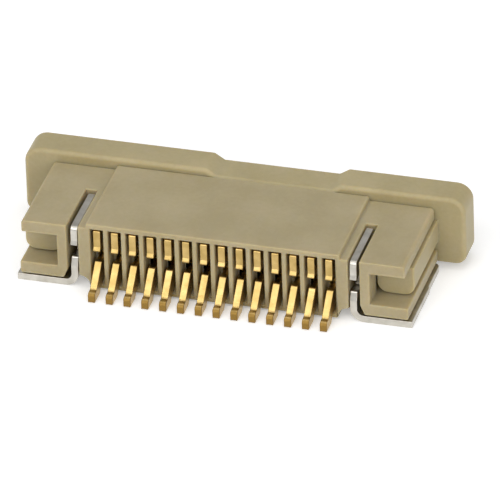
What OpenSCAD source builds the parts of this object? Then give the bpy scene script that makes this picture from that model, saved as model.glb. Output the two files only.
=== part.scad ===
// Slider-lock connector for a flat flexible cable: right-angle, surface mount.
// Millimetres, +Z up. X runs along the row of contacts, -Y is the side of the
// solder tails, +Y is the side where the cable goes in, and z = 0 is the board.

/* [Contact row] */
// Distance from one contact to the next
pitch = 0.5; // [0.45:0.05:0.8]
// Number of contacts in the row
contacts = 14; // [4:1:30]
// Thickness of the contact sheet
contact_t = 0.2; // [0.12:0.01:0.22]
// Height of the contact's upper edge above the board
contact_top = 1.84; // [1.76:0.01:1.85]
// Setback of the contact's upright rear edge from the housing's rear face
contact_inset = 0.03; // [0:0.01:0.15]
// Lower end of the contact's upright rear edge
head_bottom = 1.22; // [1.1:0.01:1.3]
// How far the lip below the upright rear edge stands out from it
lip_out = 0.08; // [0.02:0.01:0.1]
// Height of the lip's slope
lip_h = 0.14; // [0.1:0.01:0.2]
// Upper end of the solder tail at the housing
tail_top = 0.86; // [0.7:0.01:1]
// Distance from the upright rear edge in to the tail's upper end
tail_in = 0.1; // [0:0.01:0.15]
// Depth of the notch under the upright rear edge
notch_d = 0.75; // [0.4:0.01:0.9]
// How far the notch's floor falls towards its inner end
notch_drop = 0.16; // [0:0.01:0.2]
// How far the solder foot reaches out from the housing
tail_out = 0.7; // [0.5:0.01:1.5]
// Length of the level part of the solder foot
foot_len = 0.24; // [0.2:0.01:0.45]
// Height of the solder foot
foot_h = 0.28; // [0.15:0.01:0.35]
// Radius of the solder foot's two outer corners
toe_r = 0.05; // [0.02:0.01:0.05]
// Length of the contact's upright spine
spine_len = 0.55; // [0.4:0.01:0.7]
// Height of the contact's upper beam
upper_beam_h = 0.19; // [0.12:0.01:0.2]
// Height of the contact's lower beam
lower_beam_h = 0.18; // [0.1:0.01:0.2]
// Height of the hook at the upper beam's end
hook_h = 0.34; // [0.28:0.01:0.36]
// Length of the hook at the upper beam's end
hook_len = 0.16; // [0.1:0.01:0.2]
// Thickness of a beam at its root, as a multiple of the rest
beam_root = 1.5; // [1.2:0.1:1.8]
// Height of the contact point above the board
touch_z = 0.7; // [0.55:0.01:0.72]
// Length of the contact point's level top
touch_len = 0.16; // [0.1:0.01:0.2]
// Distance from the lower beam's end to the contact point's level top
touch_in = 0.22; // [0.18:0.01:0.26]
// Setback of the beam ends from the housing's front face
beam_setback = 0.2; // [0.1:0.01:0.4]

/* [Housing] */
// Depth of the housing from rear face to front face
body_d = 3.12; // [3:0.01:4]
// Gap between the board and the housing's underside
stand_off = 0.05; // [0:0.01:0.1]
// Height of the raised middle above the board
centre_top = 2.05; // [2.02:0.01:2.3]
// How far the raised middle reaches past the row's end wall
centre_over = 0.08; // [0:0.01:0.14]
// Drop from the raised middle to the side blocks
side_drop = 0.13; // [0.05:0.01:0.14]
// Width of a contact slot at the rear face
slot_w = 0.37; // [0.3:0.01:0.39]
// Depth of the wide part of a contact slot
slot_mouth_d = 0.5; // [0.3:0.01:0.6]
// Height of a contact slot's roof above the board
slot_top = 1.89; // [1.86:0.01:1.93]
// Height of a contact slot's floor above the board
slot_floor = 0.2; // [0.18:0.01:0.22]
// Height of a contact slot's floor at the rear face
slot_sill = 0.15; // [0.1:0.01:0.18]
// Room beside each face of a contact's beams
beam_room = 0.04; // [0.02:0.01:0.06]
// How far the beams' room reaches back from the cable mouth
beam_slot_d = 0.5; // [0.3:0.01:0.6]
// Wall in front of the beams' room
beam_slot_end = 0.1; // [0.08:0.01:0.15]
// Wall beside the last contact, from the contact's middle
end_wall = 0.23; // [0.22:0.01:0.3]
// Height of the underside between the row and the side blocks
relief_z = 0.38; // [0.3:0.01:0.5]
// Radius where the row's end wall meets that underside
relief_r = 0.28; // [0.05:0.01:0.3]

/* [Cable mouth] */
// Thickness of the cable end that the mouth takes
cable_t = 0.3; // [0.2:0.01:0.33]
// Side clearance of the cable in the mouth
cable_gap = 0.05; // [0.03:0.01:0.08]
// Depth of the mouth, from the housing's front face
mouth_d = 1.07; // [0.8:0.01:1.1]
// Height of the mouth's floor above the board
mouth_floor = 0.42; // [0.41:0.01:0.5]
// Height of the mouth's roof above the board
mouth_roof = 1.6; // [1.54:0.01:1.64]
// Lead-in bevel round the mouth
mouth_bevel = 0.1; // [0.02:0.01:0.12]

/* [Side blocks] */
// Width of a side block
block_w = 1.27; // [1.1:0.01:1.6]
// Height of a side block's underside above the board
block_bottom = 0.25; // [0.22:0.01:0.3]
// Thickness of the wall between solder tab and slide channel
channel_wall = 0.28; // [0.22:0.01:0.36]
// Thickness of the channel's floor
channel_floor_t = 0.36; // [0.2:0.01:0.45]
// Thickness of the channel's roof
channel_roof_t = 0.36; // [0.3:0.01:0.45]
// How far the channel's floor stands out past its roof
floor_lip = 0.07; // [0:0.01:0.2]
// Radius along the block's outer top edge
block_r = 0.1; // [0.05:0.01:0.28]
// Width of the bevel at the block's lower inner edge
block_bevel = 0.12; // [0.1:0.01:0.2]
// Height of the bevel at the block's lower inner edge
block_bevel_h = 0.29; // [0.2:0.01:0.36]

/* [Solder tabs] */
// Thickness of the solder tab's sheet
tab_t = 0.2; // [0.12:0.01:0.21]
// Distance from the last contact to the solder tab's upright plate
tab_gap = 0.66; // [0.6:0.01:0.9]
// Room beside the upright plate's inner face
tab_room_in = 0.03; // [0.02:0.01:0.06]
// Room beside the upright plate's outer face
tab_room_out = 0.09; // [0.04:0.01:0.1]
// Room in front of the upright plate
tab_room_front = 0.08; // [0.02:0.01:0.12]
// Where the narrow slot that grips the plate starts, from the rear face
grip_y = 1.0; // [0.8:0.01:1.2]
// Height of the narrow slot's upper end above the board
grip_top = 1.2; // [1:0.01:1.3]
// Length of the upright plate
plate_len = 1.87; // [1.5:0.01:1.9]
// Height of the upright plate above the board
plate_top = 1.84; // [1.6:0.01:1.88]
// Radius of the plate's upper rear corner
plate_r = 0.14; // [0.05:0.01:0.2]
// Lower edge of the notch in the plate's rear edge
plate_notch_z = 0.9; // [0.8:0.01:1]
// Height of the notch in the plate's rear edge
plate_notch_h = 0.38; // [0.2:0.01:0.45]
// Depth of the notch in the plate's rear edge
plate_notch_d = 0.6; // [0.1:0.01:0.7]
// How far the floor of that notch falls towards its inner end
plate_notch_drop = 0.1; // [0:0.01:0.15]
// How far the lip above that notch stands out from the plate's rear edge
plate_lip = 0.05; // [0.02:0.01:0.1]
// Depth of the slope below that notch
plate_slope_d = 0.1; // [0.04:0.01:0.12]
// Height of the slope below that notch
plate_slope_h = 0.28; // [0.2:0.01:0.36]
// Inner radius of the bend between plate and foot
tab_bend_r = 0.18; // [0.15:0.01:0.22]
// How far the foot reaches out from the plate's middle
tab_reach = 1.63; // [1.3:0.01:1.7]
// Distance from the foot's front edge to the housing's front face
tab_inset = 0.04; // [0.02:0.01:0.5]
// Setback of the narrower front part of the foot
tab_step = 0.03; // [0.02:0.01:0.15]
// Radius of the foot's front corners
tab_r = 0.16; // [0.1:0.01:0.4]

/* [Slider] */
// Depth of the slider's front bar
bar_d = 1.0; // [0.7:0.01:1.2]
// Height of the front bar's upper face above the board
bar_top = 2.23; // [2.2:0.01:2.5]
// Height of the front bar's underside above the board
bar_bottom = 0.17; // [0.1:0.01:0.3]
// How far the front bar stands out past each side block
ear = 0.85; // [0.4:0.01:1.2]
// Radius of the front bar's upper corners
ear_top_r = 0.45; // [0.1:0.01:0.6]
// Radius of the front bar's lower corners
ear_low_r = 0.32; // [0.1:0.01:0.5]
// Height clearance of the cable in the window through the front bar
cable_room = 0.12; // [0.08:0.01:0.15]
// Height of the window's lower edge above the board
window_z = 0.55; // [0.5:0.01:0.58]
// Thickness of the tongue that presses on the cable
tongue_t = 0.42; // [0.3:0.01:0.46]
// How far the tongue reaches back from the front bar
tongue_len = 1.0; // [0.8:0.01:1.02]
// Bevel at the tongue's tip
tongue_bevel = 0.14; // [0.05:0.01:0.2]
// Distance from the housing's rear face to the slide arm's end
arm_inset = 0.63; // [0.4:0.01:0.8]
// Clearance of the slide arm in its channel
arm_gap = 0.04; // [0.03:0.01:0.1]
// How far the arm's outer face stands out past the channel's roof
arm_over = 0.09; // [0:0.01:0.15]
// Radius of the arm's lower inner corner
arm_r = 0.32; // [0.1:0.01:0.36]
// Radius of the arm's lower outer corner
arm_out_r = 0.3; // [0.1:0.01:0.36]
// Distance from the arm's end to the stop lug
lug_inset = 0.12; // [0.08:0.01:0.2]
// How far the stop lug stands in from the arm
lug_h = 0.1; // [0.06:0.01:0.12]
// Length of the stop lug
lug_len = 0.3; // [0.2:0.01:0.4]
// Gap between the closed front bar and the housing
closed_gap = 0.03; // [0:0.01:0.06]
// How far the slider moves out to open
travel = 1.0; // [0.6:0.01:1]

/* [Slider recess] */
// Width of the level floor of the recess in the front bar
recess_w = 3.24; // [1:0.01:5]
// Sideways place of the recess
recess_x = 0.85; // [-1:0.01:1]
// Depth of the recess
recess_depth = 0.18; // [0.05:0.01:0.3]
// Run of the slope at each end of the recess
recess_slope = 0.28; // [0.05:0.01:0.4]

/* [Hidden] */
$fn = 48;
// Sliding fit of the sheet pieces in the narrow slots, each side
sheet_fit = 0.01;
// Small overshoot of every cutter
eps = 0.05;
// Corner radii of the blanked sheet: rounded, small and sharpest
bend_r = 0.1;
edge_r = 0.06;
tip_r = 0.03;
// Half of the span of the contact row
half_row = (contacts - 1) * pitch / 2;
// Depth from the foot tips to the front bar, and the rear face's place in it
overall_d = tail_out + body_d + closed_gap + bar_d;
rear_y = tail_out - overall_d / 2;
// Half widths, from the middle outwards
zone_half = half_row + end_wall;
centre_half = zone_half + centre_over;
plate_x = half_row + tab_gap;
block_in = plate_x + tab_t / 2 + tab_room_out;
block_out = block_in + block_w;
channel_x = block_in + channel_wall;
bar_half = block_out + ear;
// Heights
side_top = centre_top - side_drop;
channel_z0 = block_bottom + channel_floor_t;
channel_z1 = side_top - channel_roof_t;
// Cable width by the usual rule, and the mouth and tongue that follow it
cable_w = (contacts + 1) * pitch;
mouth_half = cable_w / 2 + cable_gap;
tongue_half = cable_w / 2;
window_h = cable_t + cable_room;
tongue_z = window_z + window_h;
// Width and length of the slot that takes the upright plate
tab_slot_w = tab_room_in + tab_t + tab_room_out;
tab_slot_d = plate_len + tab_room_front;
// Setback of the solder tab's rear edge from the housing's rear face
tab_y = 0.03;
// Closed place of the front bar's rear face, and of the stop lug's sloped end
bar_y = body_d + closed_gap;
lug_y = arm_inset + lug_inset;
// Rear face of the beams' room
beam_slot_y = body_d - mouth_d - beam_slot_d;

function contact_name(i) = str("contact_", i < 10 ? "0" : "", i);

// Extrudes an X-Z outline along Y
module along_y(y0, len) {
    translate([0, y0 + len, 0]) rotate([90, 0, 0]) linear_extrude(len) children();
}

// Extrudes a Y-Z outline along X, centred on x
module across_x(x, w) {
    translate([x - w / 2, 0, 0]) rotate([90, 0, 90]) linear_extrude(w) children();
}

// What rounds off a corner that points to the lower left
module corner_cut(r) {
    difference() {
        translate([-eps, -eps]) square(r + eps);
        translate([r, r]) circle(r);
    }
}

// Draws its children on both sides
module both_sides() {
    children();
    mirror([1, 0, 0]) children();
}

// Outline of the housing's right half seen from the rear, with the slide channel
module housing_half() {
    difference() {
        union() {
            translate([-eps, stand_off]) square([zone_half + eps, side_top - stand_off]);
            translate([-eps, relief_z]) square([centre_half + eps, centre_top - relief_z]);
            translate([0, relief_z]) square([block_in + eps, side_top - relief_z]);
            translate([block_in, block_bottom]) square([block_w, side_top - block_bottom]);
            translate([block_in, block_bottom]) square([block_w + floor_lip, channel_floor_t]);
            translate([zone_half, relief_z - relief_r]) difference() {
                square([relief_r, relief_r + eps]);
                translate([relief_r, 0]) circle(relief_r);
            }
        }
        translate([channel_x, channel_z0]) square([block_w + floor_lip, channel_z1 - channel_z0]);
        translate([block_out, side_top]) rotate(180) corner_cut(block_r);
        translate([centre_half, centre_top]) rotate(180) corner_cut(edge_r);
        translate([block_out + floor_lip, block_bottom]) rotate(90) corner_cut(edge_r);
        translate([block_in, block_bottom])
            polygon([[-eps, -eps], [block_bevel, -eps], [block_bevel, 0], [0, block_bevel_h],
                [-eps, block_bevel_h]]);
    }
}

// Wide mouth of a contact slot, with the floor that slopes out to the rear
module slot_mouth() {
    polygon([[-eps, slot_sill], [0, slot_sill], [slot_mouth_d, mouth_floor],
        [slot_mouth_d, slot_top], [-eps, slot_top]]);
}

// The one piece of plastic that holds contacts, tabs and slider
module housing() {
    color("#c9bb97") translate([0, rear_y, 0]) difference() {
        along_y(0, body_d) both_sides() housing_half();
        for (i = [0 : contacts - 1]) {
            x = i * pitch - half_row;
            across_x(x, slot_w) slot_mouth();
            across_x(x, contact_t + 2 * sheet_fit)
                translate([-eps, slot_floor])
                    square([body_d - mouth_d + 2 * eps, contact_top + sheet_fit - slot_floor]);
            across_x(x, contact_t + 2 * beam_room)
                translate([beam_slot_y, slot_floor])
                    square([body_d - beam_slot_end - beam_slot_y,
                        contact_top + sheet_fit - slot_floor]);
        }
        // cable mouth with its lead-in
        translate([-mouth_half, body_d - mouth_d, mouth_floor])
            cube([2 * mouth_half, mouth_d + eps, mouth_roof - mouth_floor]);
        across_x(0, 2 * mouth_half)
            polygon([[body_d - mouth_bevel, mouth_floor], [body_d + eps, mouth_floor],
                [body_d + eps, mouth_floor - mouth_bevel - eps]]);
        // slots of the solder tabs: open to the rear, the top and the board
        both_sides() {
            across_x(block_in - tab_slot_w / 2, tab_slot_w) {
                translate([-eps, 0]) square([grip_y + eps, centre_top]);
                translate([0, grip_top]) square([tab_slot_d, centre_top]);
            }
            across_x(plate_x, tab_t + 2 * sheet_fit)
                square([tab_slot_d, centre_top]);
            // groove for the slider's stop lug
            translate([channel_x - lug_h, lug_y - arm_gap, channel_z0])
                cube([lug_h + eps, lug_len + travel + 2 * arm_gap, channel_z1 - channel_z0]);
        }
    }
}

// Outline of the front bar with its four corner radii
module bar_outline() {
    difference() {
        translate([-bar_half, bar_bottom]) square([2 * bar_half, bar_top - bar_bottom]);
        both_sides() {
            translate([-bar_half, bar_bottom]) corner_cut(ear_low_r);
            translate([-bar_half, bar_top]) rotate(-90) corner_cut(ear_top_r);
        }
        translate([recess_x, bar_top])
            polygon([[-recess_w / 2 - recess_slope - recess_slope * eps / recess_depth, eps],
                [-recess_w / 2, -recess_depth], [recess_w / 2, -recess_depth],
                [recess_w / 2 + recess_slope + recess_slope * eps / recess_depth, eps]]);
    }
}

// Outline of one slide arm seen from the rear
module arm_outline() {
    x0 = channel_x + arm_gap;
    x1 = block_out + arm_over;
    z0 = channel_z0 + arm_gap;
    difference() {
        translate([x0, z0]) square([x1 - x0, channel_z1 - arm_gap - z0]);
        translate([x0, z0]) corner_cut(arm_r);
        translate([x1, z0]) rotate(90) corner_cut(arm_out_r);
    }
}

// The slider: front bar, tongue and two arms that run in the side channels
module slider() {
    color("#cdbf9b") translate([0, rear_y, 0]) {
        difference() {
            union() {
                along_y(bar_y, bar_d) bar_outline();
                across_x(0, 2 * tongue_half)
                    polygon([[bar_y + eps, tongue_z], [bar_y + eps, tongue_z + tongue_t],
                        [bar_y - tongue_len + edge_r, tongue_z + tongue_t],
                        [bar_y - tongue_len, tongue_z + tongue_t - edge_r],
                        [bar_y - tongue_len, tongue_z + tongue_bevel],
                        [bar_y - tongue_len + tongue_bevel, tongue_z]]);
                both_sides() {
                    along_y(arm_inset, bar_y - arm_inset + eps) arm_outline();
                    lug();
                }
            }
            // cable window with its lead-in at the front
            translate([-mouth_half, bar_y - eps, window_z])
                cube([2 * mouth_half, bar_d + 2 * eps, window_h]);
            across_x(0, 2 * mouth_half)
                polygon([[bar_y + bar_d - mouth_bevel, window_z],
                    [bar_y + bar_d + eps, window_z - mouth_bevel - eps],
                    [bar_y + bar_d + eps, window_z + window_h + mouth_bevel + eps],
                    [bar_y + bar_d - mouth_bevel, window_z + window_h]]);
        }
    }
}

// Stop lug on the inner face of an arm, with a sloped rear side
module lug() {
    x0 = channel_x + arm_gap;
    z0 = channel_z0 + arm_gap + arm_r;
    translate([0, 0, z0]) linear_extrude(channel_z1 - arm_gap - z0)
        polygon([[x0 + eps, lug_y], [x0, lug_y], [x0 - lug_h, lug_y + lug_h],
            [x0 - lug_h, lug_y + lug_len], [x0 + eps, lug_y + lug_len]]);
}

// Points of the arc that rounds the corner at b, between a and c
function corner_arc(a, b, c, r) =
    let (u = (a - b) / norm(a - b), v = (c - b) / norm(c - b),
        half = acos(u * v) / 2, mid = (u + v) / norm(u + v),
        m = b + mid * r / sin(half), turn = sign(u[0] * v[1] - u[1] * v[0]) * (180 - 2 * half),
        start = b + u * r / tan(half) - m, n = ceil((180 - 2 * half) / 30))
    [for (k = [0 : n]) let (w = -turn * k / n)
        m + [start[0] * cos(w) - start[1] * sin(w), start[0] * sin(w) + start[1] * cos(w)]];

// Closed outline with every corner [y, z, radius] rounded
function rounded(p) = [for (i = [0 : len(p) - 1])
    let (a = p[(i + len(p) - 1) % len(p)], b = p[i], c = p[(i + 1) % len(p)])
    each corner_arc([a[0], a[1]], [b[0], b[1]], [c[0], c[1]], b[2])];

// Blanked outline of a contact: foot, tail, upright edge, upper and lower beam
module contact_outline() {
    z0 = slot_floor + sheet_fit;
    notch_y = contact_inset + notch_d;
    spine_y = notch_y + spine_len;
    tip_y = body_d - beam_setback;
    polygon(rounded([
        [-tail_out, 0, edge_r],
        [-tail_out, foot_h, foot_h / 2],
        [-tail_out + foot_len, foot_h, bend_r],
        [contact_inset + tail_in, tail_top, bend_r],
        [notch_y, tail_top - notch_drop, edge_r],
        [notch_y, head_bottom, edge_r],
        [contact_inset - lip_out, head_bottom, tip_r],
        [contact_inset, head_bottom + lip_h, edge_r],
        [contact_inset, contact_top, edge_r],
        [tip_y, contact_top, tip_r],
        [tip_y, contact_top - hook_h, tip_r],
        [tip_y - hook_len, contact_top - hook_h, tip_r],
        [tip_y - 2 * hook_len, contact_top - upper_beam_h, bend_r],
        [spine_y, contact_top - beam_root * upper_beam_h, bend_r],
        [spine_y, z0 + beam_root * lower_beam_h, bend_r],
        [tip_y - 2 * touch_in - touch_len, z0 + lower_beam_h, bend_r],
        [tip_y - touch_in - touch_len, touch_z, edge_r],
        [tip_y - touch_in, touch_z, edge_r],
        [tip_y, z0 + lower_beam_h, tip_r],
        [tip_y - edge_r, z0, tip_r],
        [0, z0, bend_r],
        [-z0, 0, edge_r]]));
}

// One contact of the row, counted from the left, with the toe's corners rounded
module contact(i) {
    color("#d8b25a") translate([(i - 1) * pitch - half_row, rear_y, 0]) difference() {
        across_x(0, contact_t) contact_outline();
        both_sides() translate([-contact_t / 2, -tail_out, -eps])
            linear_extrude(foot_h + 2 * eps) corner_cut(toe_r);
    }
}

// Outline of the upright plate, with a lip above and a slope below the notch in its rear edge
module plate_outline() {
    z0 = tab_t + tab_bend_r;
    notch_top = plate_notch_z + plate_notch_h;
    slope_z = plate_notch_z - plate_slope_h;
    face_y = tab_y + plate_lip;
    difference() {
        translate([tab_y, z0]) square([plate_len - tab_y, plate_top - z0]);
        polygon(rounded([
            [tab_y - plate_r, slope_z, tip_r],
            [tab_y, slope_z, tip_r],
            [tab_y + plate_slope_d, plate_notch_z, edge_r],
            [tab_y + plate_notch_d, plate_notch_z - plate_notch_drop, edge_r],
            [tab_y + plate_notch_d, notch_top, edge_r],
            [tab_y, notch_top, tip_r],
            [face_y, notch_top + lip_h, edge_r],
            [face_y, plate_top, plate_r],
            [face_y + 2 * plate_r, plate_top, tip_r],
            [face_y + 2 * plate_r, plate_top + plate_r, tip_r],
            [tab_y - plate_r, plate_top + plate_r, tip_r]]));
    }
}

// Solder tab of the right side: plate, bend and foot of one sheet
module solder_tab() {
    x0 = plate_x - tab_t / 2;
    x1 = x0 + tab_t + tab_bend_r;
    x2 = plate_x + tab_reach;
    y1 = body_d - tab_inset;
    color("#b9bcc0") translate([0, rear_y, 0]) {
        across_x(plate_x, tab_t) plate_outline();
        // quarter bend from the plate to the foot
        along_y(tab_y, plate_len - tab_y) intersection() {
            translate([x0, 0]) square(tab_t + tab_bend_r);
            translate([x1, tab_t + tab_bend_r]) difference() {
                circle(tab_t + tab_bend_r);
                circle(tab_bend_r);
            }
        }
        // foot on the board, a little narrower at the front
        linear_extrude(tab_t) difference() {
            union() {
                translate([x1, tab_y]) square([x2 - x1, plate_len - tab_y]);
                translate([x1 + tab_step, plate_len - eps])
                    square([x2 - x1 - 2 * tab_step, y1 - plate_len + eps]);
            }
            translate([x1 + tab_step, y1]) rotate(-90) corner_cut(tab_r);
            translate([x2 - tab_step, y1]) rotate(180) corner_cut(tab_r);
        }
    }
}

module solder_tab_right() {
    solder_tab();
}

module solder_tab_left() {
    mirror([1, 0, 0]) solder_tab();
}

housing();
slider();
solder_tab_left();
solder_tab_right();
for (i = [1 : contacts]) contact(i);
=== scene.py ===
"""Looks of a slider-lock connector for a flat flexible cable, seen from its solder side."""
import math

import bmesh
import bpy
from mathutils import Matrix, Vector

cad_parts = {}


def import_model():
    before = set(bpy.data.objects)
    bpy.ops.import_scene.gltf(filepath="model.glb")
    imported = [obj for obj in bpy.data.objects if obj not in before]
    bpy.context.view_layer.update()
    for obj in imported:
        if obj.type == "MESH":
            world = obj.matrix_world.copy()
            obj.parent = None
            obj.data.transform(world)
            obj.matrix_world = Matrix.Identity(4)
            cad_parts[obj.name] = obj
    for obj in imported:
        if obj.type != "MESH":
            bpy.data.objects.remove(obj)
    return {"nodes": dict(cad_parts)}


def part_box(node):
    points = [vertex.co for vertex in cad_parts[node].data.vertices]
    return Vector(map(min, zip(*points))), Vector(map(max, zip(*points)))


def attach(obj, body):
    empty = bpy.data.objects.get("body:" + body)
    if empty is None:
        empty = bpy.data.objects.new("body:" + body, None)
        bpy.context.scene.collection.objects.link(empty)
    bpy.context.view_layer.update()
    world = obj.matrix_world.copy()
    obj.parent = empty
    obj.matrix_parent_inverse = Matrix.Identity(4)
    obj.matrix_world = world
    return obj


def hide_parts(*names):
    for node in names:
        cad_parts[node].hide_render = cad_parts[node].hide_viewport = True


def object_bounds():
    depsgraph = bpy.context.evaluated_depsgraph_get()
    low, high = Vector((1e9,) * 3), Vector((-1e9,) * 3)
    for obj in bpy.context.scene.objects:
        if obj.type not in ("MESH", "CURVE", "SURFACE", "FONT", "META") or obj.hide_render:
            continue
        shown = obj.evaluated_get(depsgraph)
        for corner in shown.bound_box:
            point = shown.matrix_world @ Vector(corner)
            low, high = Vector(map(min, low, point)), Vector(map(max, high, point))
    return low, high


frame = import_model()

CAD_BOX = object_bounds()
MM = 0.001

# ---------------------------------------------------------------- sizes
# Radius that moulding leaves on the edges of the plastic
MOULD_EDGE = 0.035 * MM
# Radius that the blanking die leaves on the edges of the sheet
SHEET_EDGE = 0.018 * MM
# Radius on the outer edges of the pull bar, which fingers push
SOFT_EDGE = 0.12 * MM
# Y of the housing's rear and front faces, and of the ends of the contacts' toes
REAR, HOUSING_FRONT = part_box("housing")[0][1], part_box("housing")[1][1]
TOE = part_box("contact_01")[0][1]
# Edges flatter than this are left alone
SHARP_ANGLE = math.radians(35)
# Corners closer than this are one corner, and faces turned less than this are one face
SAME_CORNER = 0.001 * MM
SAME_FACE = math.radians(1)
# Half width and heights of the part of the bar that holds the cable window
WINDOW_HALF = 4.6 * MM
WINDOW_LOW, WINDOW_HIGH = 0.3 * MM, 1.3 * MM
# Clouds of flow in the moulded skin, and in the plating
FLOW_CLOUD = 1.6 * MM
PLATING_CLOUD = 0.35 * MM
# Glass fibres are 0.01 mm thick, and are drawn this coarse so that they show
FIBRE = 0.11 * MM
# The grain of an eroded mould is about 0.02 mm, and is drawn this coarse so that it shows
MOULD_GRAIN, MOULD_RELIEF = 0.05 * MM, 0.006 * MM
# Punch lines are 0.01 mm apart, and are drawn this far apart so that they show
PUNCH_LINE = 0.06 * MM
# Their pattern is drawn out across the sheet: along X it changes at this share of the pace
PUNCH_LINE_PACE = 0.12
# How far light spreads inside the plastic
GLOW_DEPTH = 0.35 * MM
# Length of the end of a contact that was cut after plating, and where the plating takes over
CUT_END, CUT_FADE = 0.05 * MM, 0.06 * MM
# How much rougher the torn alloy is than the plating
TORN_ROUGHNESS = 0.22
# Side of the table, large enough to reach past the picture in every view, and its drop
TABLE_SIZE = 3.0
TABLE_DROP = 0.002 * MM
# Distance of the lens, width of the picture at the connector, and the point aimed at
LENS_AWAY, VIEW_WIDTH = 294 * MM, 13.5 * MM
AIM = (0.765 * MM, REAR + 1.02 * MM, 1.213 * MM)


# ---------------------------------------------------------------- materials
def linear(hex_colour):
    """An sRGB hex colour as linear RGBA."""
    parts = [int(hex_colour[i:i + 2], 16) / 255 for i in (1, 3, 5)]
    return [c / 12.92 if c <= 0.04045 else ((c + 0.055) / 1.055) ** 2.4 for c in parts] + [1.0]


def add(tree, kind, props=None, values=None, links=None):
    """Adds a node with its settings, socket values and links, and returns it."""
    node = tree.nodes.new(kind)
    for name, value in (props or {}).items():
        setattr(node, name, value)
    for name, value in (values or {}).items():
        node.inputs[name].default_value = value
    for name, socket in (links or {}).items():
        tree.links.new(socket, node.inputs[name])
    return node


def new_material(name):
    """An empty node material."""
    material = bpy.data.materials.new(name)
    material.use_nodes = True
    material.node_tree.nodes.clear()
    return material, material.node_tree


def moulded_plastic(name, light, dark, seed):
    """Natural glass-filled polyamide, injection moulded: a satin beige skin with faint clouds of
    flow, short glass fibres just under the surface and the fine grain of an eroded mould."""
    material, tree = new_material(name)
    place = add(tree, "ShaderNodeTexCoord")
    shifted = add(tree, "ShaderNodeMapping", values={"Location": (seed * MM, 0, 0)},
                  links={"Vector": place.outputs["Object"]})
    spot = shifted.outputs["Vector"]
    clouds = add(tree, "ShaderNodeTexNoise",
                 values={"Scale": 1 / FLOW_CLOUD, "Detail": 2.0, "Roughness": 0.5},
                 links={"Vector": spot})
    fibres = add(tree, "ShaderNodeTexNoise",
                 values={"Scale": 1 / FIBRE, "Detail": 2.0, "Roughness": 0.6},
                 links={"Vector": spot})
    grain = add(tree, "ShaderNodeTexNoise",
                values={"Scale": 1 / MOULD_GRAIN, "Detail": 3.0, "Roughness": 0.6},
                links={"Vector": spot})
    # two parts of clouds to one part of fibres, spread to the full range
    both = add(tree, "ShaderNodeMath", {"operation": "MULTIPLY_ADD"}, {1: 2.0},
               {0: clouds.outputs["Fac"], 2: fibres.outputs["Fac"]})
    tone = add(tree, "ShaderNodeMapRange", values={"From Min": 1.1, "From Max": 1.9},
               links={"Value": both.outputs[0]})
    colour = add(tree, "ShaderNodeMix", {"data_type": "RGBA"},
                 {6: linear(dark), 7: linear(light)}, {0: tone.outputs["Result"]})
    rough = add(tree, "ShaderNodeMapRange", values={"To Min": 0.42, "To Max": 0.58},
                links={"Value": fibres.outputs["Fac"]})
    bump = add(tree, "ShaderNodeBump", values={"Strength": 0.25, "Distance": MOULD_RELIEF},
               links={"Height": grain.outputs["Fac"]})
    skin = add(tree, "ShaderNodeBsdfPrincipled",
               values={"IOR": 1.53, "Subsurface Weight": 0.8, "Subsurface Scale": GLOW_DEPTH,
                       "Subsurface Radius": (1.0, 0.75, 0.35)},
               links={"Base Color": colour.outputs[2], "Roughness": rough.outputs["Result"],
                      "Normal": bump.outputs["Normal"]})
    add(tree, "ShaderNodeOutputMaterial", links={"Surface": skin.outputs["BSDF"]})
    return material


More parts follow.
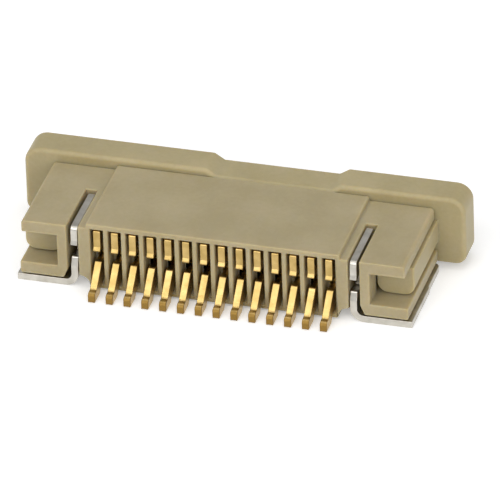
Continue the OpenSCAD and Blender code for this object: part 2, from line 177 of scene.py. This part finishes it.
def plated_sheet(name, light, dark, roughness, relief, seed, bare=None):
    """A plated blank of rolled alloy sheet: bright metal, with the fine lines that the punch
    leaves across the sheet on its cut edges and slight clouds in the plating. relief is the depth
    of the lines. bare is the colour of the alloy and the Y up to which it shows, on the end that
    was cut from its carrier strip after plating."""
    material, tree = new_material(name)
    place = add(tree, "ShaderNodeTexCoord")
    along = add(tree, "ShaderNodeMapping",
                values={"Location": (seed * MM, 0, 0), "Scale": (PUNCH_LINE_PACE, 1.0, 1.0)},
                links={"Vector": place.outputs["Object"]})
    lines = add(tree, "ShaderNodeTexNoise",
                values={"Scale": 1 / PUNCH_LINE, "Detail": 3.0, "Roughness": 0.65},
                links={"Vector": along.outputs["Vector"]})
    clouds = add(tree, "ShaderNodeTexNoise",
                 values={"Scale": 1 / PLATING_CLOUD, "Detail": 2.0, "Roughness": 0.5},
                 links={"Vector": place.outputs["Object"]})
    tone = add(tree, "ShaderNodeMapRange", values={"From Min": 0.35, "From Max": 0.65},
               links={"Value": clouds.outputs["Fac"]})
    colour = add(tree, "ShaderNodeMix", {"data_type": "RGBA"},
                 {6: linear(dark), 7: linear(light)}, {0: tone.outputs["Result"]})
    rough = add(tree, "ShaderNodeMapRange",
                values={"To Min": roughness - 0.06, "To Max": roughness + 0.08},
                links={"Value": lines.outputs["Fac"]})
    shades, polish = colour.outputs[2], rough.outputs["Result"]
    if bare:
        alloy, cut_y = bare
        parts = add(tree, "ShaderNodeSeparateXYZ", links={"Vector": place.outputs["Object"]})
        cut = add(tree, "ShaderNodeMapRange",
                  values={"From Min": cut_y, "From Max": cut_y + CUT_FADE, "To Min": 1.0,
                          "To Max": 0.0},
                  links={"Value": parts.outputs["Y"]})
        alloyed = add(tree, "ShaderNodeMix", {"data_type": "RGBA"}, {7: linear(alloy)},
                      {0: cut.outputs["Result"], 6: shades})
        torn = add(tree, "ShaderNodeMath", {"operation": "MULTIPLY_ADD"}, {1: TORN_ROUGHNESS},
                   {0: cut.outputs["Result"], 2: polish})
        shades, polish = alloyed.outputs[2], torn.outputs[0]
    bump = add(tree, "ShaderNodeBump", values={"Strength": 0.5, "Distance": relief},
               links={"Height": lines.outputs["Fac"]})
    skin = add(tree, "ShaderNodeBsdfPrincipled", values={"Metallic": 1.0},
               links={"Base Color": shades, "Roughness": polish,
                      "Normal": bump.outputs["Normal"]})
    add(tree, "ShaderNodeOutputMaterial", links={"Surface": skin.outputs["BSDF"]})
    return material


# ---------------------------------------------------------------- pieces
def sharp_edges(work):
    """The edges of the solid that the maker's tools would leave rounded."""
    return [e for e in work.edges if len(e.link_faces) == 2 and e.calc_face_angle(0) > SHARP_ANGLE]


def round_off(work, edges, radius, steps):
    """Rounds the edges to the radius."""
    bmesh.ops.bevel(work, geom=edges, offset=radius, offset_type="OFFSET", segments=steps,
                    profile=0.5, affect="EDGES", clamp_overlap=False)


def shade_evenly(mesh):
    """Flat faces are shaded flat, and the light turns only over the rounded edges: each corner
    takes the direction of the largest face at it, or of several that are about as large."""
    around = [[] for _ in mesh.vertices]
    for face in mesh.polygons:
        face.use_smooth = True
        for corner in face.vertices:
            around[corner].append(face)
    turned = []
    for faces in around:
        largest = max(face.area for face in faces)
        main = [face.normal * face.area for face in faces if face.area > 0.5 * largest]
        turned.append(sum(main, Vector()).normalized())
    mesh.normals_split_custom_set_from_vertices(turned)


def rounded_copy(node, edge, material, body, is_soft=None):
    """The node's own solid with its sharp edges rounded, shown in place of the node. The outer
    edges that is_soft picks get the wider SOFT_EDGE first."""
    mesh = bpy.data.meshes.new(node + "_finished")
    work = bmesh.new()
    work.from_mesh(frame["nodes"][node].data)
    bmesh.ops.remove_doubles(work, verts=work.verts, dist=SAME_CORNER)
    bmesh.ops.dissolve_limit(work, angle_limit=SAME_FACE, verts=work.verts, edges=work.edges)
    if is_soft:
        soft = [e for e in sharp_edges(work) if e.is_convex and all(is_soft(v.co) for v in e.verts)]
        round_off(work, soft, SOFT_EDGE, 4)
    round_off(work, sharp_edges(work), edge, 2)
    # where small faces meet, the rounding may step out by some thousandths of a millimetre
    low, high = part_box(node)
    for vert in work.verts:
        vert.co = [min(max(c, low[i]), high[i]) for i, c in enumerate(vert.co)]
    work.to_mesh(mesh)
    work.free()
    mesh.materials.append(material)
    shade_evenly(mesh)
    piece = bpy.data.objects.new(node + "_finished", mesh)
    bpy.context.scene.collection.objects.link(piece)
    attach(piece, body)
    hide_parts(node)


def on_pull_bar(point):
    """Whether a point of the slider is on the outside of its bar, and not at the cable window."""
    by_window = abs(point.x) < WINDOW_HALF and WINDOW_LOW < point.z < WINDOW_HIGH
    return point.y > HOUSING_FRONT and not by_window


HOUSING = moulded_plastic("natural_polyamide_housing", "#B0A381", "#A59874", 0)
SLIDER = moulded_plastic("natural_polyamide_slider", "#B2A57F", "#A79A72", 9)
GOLD = plated_sheet("gold_plated_contact_blank", "#D0B274", "#B79B5E", 0.28, 0.003 * MM, 3,
                    ("#98793F", TOE + CUT_END))
TIN = plated_sheet("tin_plated_tab_blank", "#D2CEC5", "#BCB8AE", 0.32, 0.012 * MM, 5)

rounded_copy("housing", MOULD_EDGE, HOUSING, "base")
rounded_copy("slider", MOULD_EDGE, SLIDER, "lock", on_pull_bar)
for side in ("left", "right"):
    rounded_copy("solder_tab_" + side, SHEET_EDGE, TIN, "base")
for contact in sorted(n for n in frame["nodes"] if n.startswith("contact_")):
    rounded_copy(contact, SHEET_EDGE, GOLD, "base")


# ---------------------------------------------------------------- stage and light
def floor(size):
    """A plain pale table. It is shown white, and keeps the connector's soft shadow."""
    material, tree = new_material("white_card")
    path = add(tree, "ShaderNodeLightPath")
    matte = add(tree, "ShaderNodeBsdfDiffuse", values={"Color": linear("#F2F2F2")})
    glow = add(tree, "ShaderNodeEmission", values={"Color": linear("#FFFFFF"), "Strength": 0.3})
    shown = add(tree, "ShaderNodeAddShader", links={0: matte.outputs[0], 1: glow.outputs[0]})
    mirrored = add(tree, "ShaderNodeMath", {"operation": "MAXIMUM"},
                   links={0: path.outputs["Is Glossy Ray"], 1: path.outputs["Is Transmission Ray"]})
    seen = add(tree, "ShaderNodeMath", {"operation": "MAXIMUM"},
               links={0: path.outputs["Is Camera Ray"], 1: mirrored.outputs[0]})
    mixed = add(tree, "ShaderNodeMixShader",
                links={"Fac": seen.outputs[0], 1: matte.outputs[0], 2: shown.outputs[0]})
    add(tree, "ShaderNodeOutputMaterial", links={"Surface": mixed.outputs[0]})
    mesh = bpy.data.meshes.new("table")
    half = size / 2
    corners = [(-half, -half, 0), (half, -half, 0), (half, half, 0), (-half, half, 0)]
    mesh.from_pydata(corners, [], [(0, 1, 2, 3)])
    mesh.materials.append(material)
    table = bpy.data.objects.new("table", mesh)
    table.location.z = CAD_BOX[0][2] - TABLE_DROP
    bpy.context.scene.collection.objects.link(table)


def softbox(name, azimuth, elevation, distance, size, power):
    """A square white lamp aimed at the connector: distance and size in metres, power in watts."""
    lamp = bpy.data.lights.new(name, "AREA")
    lamp.shape = "SQUARE"
    lamp.size = size
    lamp.energy = power
    box = bpy.data.objects.new(name, lamp)
    away = direction(azimuth, elevation)
    box.location = away * distance
    box.rotation_euler = away.to_track_quat("Z", "Y").to_euler()
    bpy.context.scene.collection.objects.link(box)


def direction(azimuth, elevation):
    """Unit vector from the connector towards a viewer: azimuth 0 looks along +Y."""
    a, e = math.radians(azimuth), math.radians(elevation)
    return Vector((math.sin(a) * math.cos(e), -math.cos(a) * math.cos(e), math.sin(e)))


def world(strength):
    """Even soft light from all round."""
    scene_world = bpy.data.worlds.new("studio")
    bpy.context.scene.world = scene_world
    scene_world.use_nodes = True
    tree = scene_world.node_tree
    tree.nodes.clear()
    soft = add(tree, "ShaderNodeBackground",
               values={"Color": linear("#FFFFFF"), "Strength": strength})
    add(tree, "ShaderNodeOutputWorld", links={"Surface": soft.outputs[0]})


def camera(azimuth, elevation, roll, distance, view_width, aim):
    """A long lens at the distance given, with view_width across the picture at the aim point."""
    back = direction(azimuth, elevation)
    lens = bpy.data.cameras.new("lens")
    lens.sensor_width = 36.0
    lens.lens = lens.sensor_width * distance / view_width
    eye = bpy.data.objects.new("camera", lens)
    right = Vector((math.cos(math.radians(azimuth)), math.sin(math.radians(azimuth)), 0))
    up = back.cross(right)
    turn = math.radians(roll)
    right, up = (right * math.cos(turn) + up * math.sin(turn),
                 up * math.cos(turn) - right * math.sin(turn))
    eye.matrix_world = Matrix.Translation(Vector(aim) + back * distance) @ Matrix(
        (right, up, back)).transposed().to_4x4()
    bpy.context.scene.collection.objects.link(eye)
    bpy.context.scene.camera = eye


floor(TABLE_SIZE)
world(0.5)
softbox("rear_box", -17, 41, 0.6, 0.42, 1.3)
softbox("top_box", 0, 88, 0.6, 0.35, 0.65)
softbox("side_box", 45, 20, 0.7, 0.4, 1.3)
camera(16.75, 31.94, -1.954, LENS_AWAY, VIEW_WIDTH, AIM)
bpy.context.scene.view_settings.view_transform = "Standard"
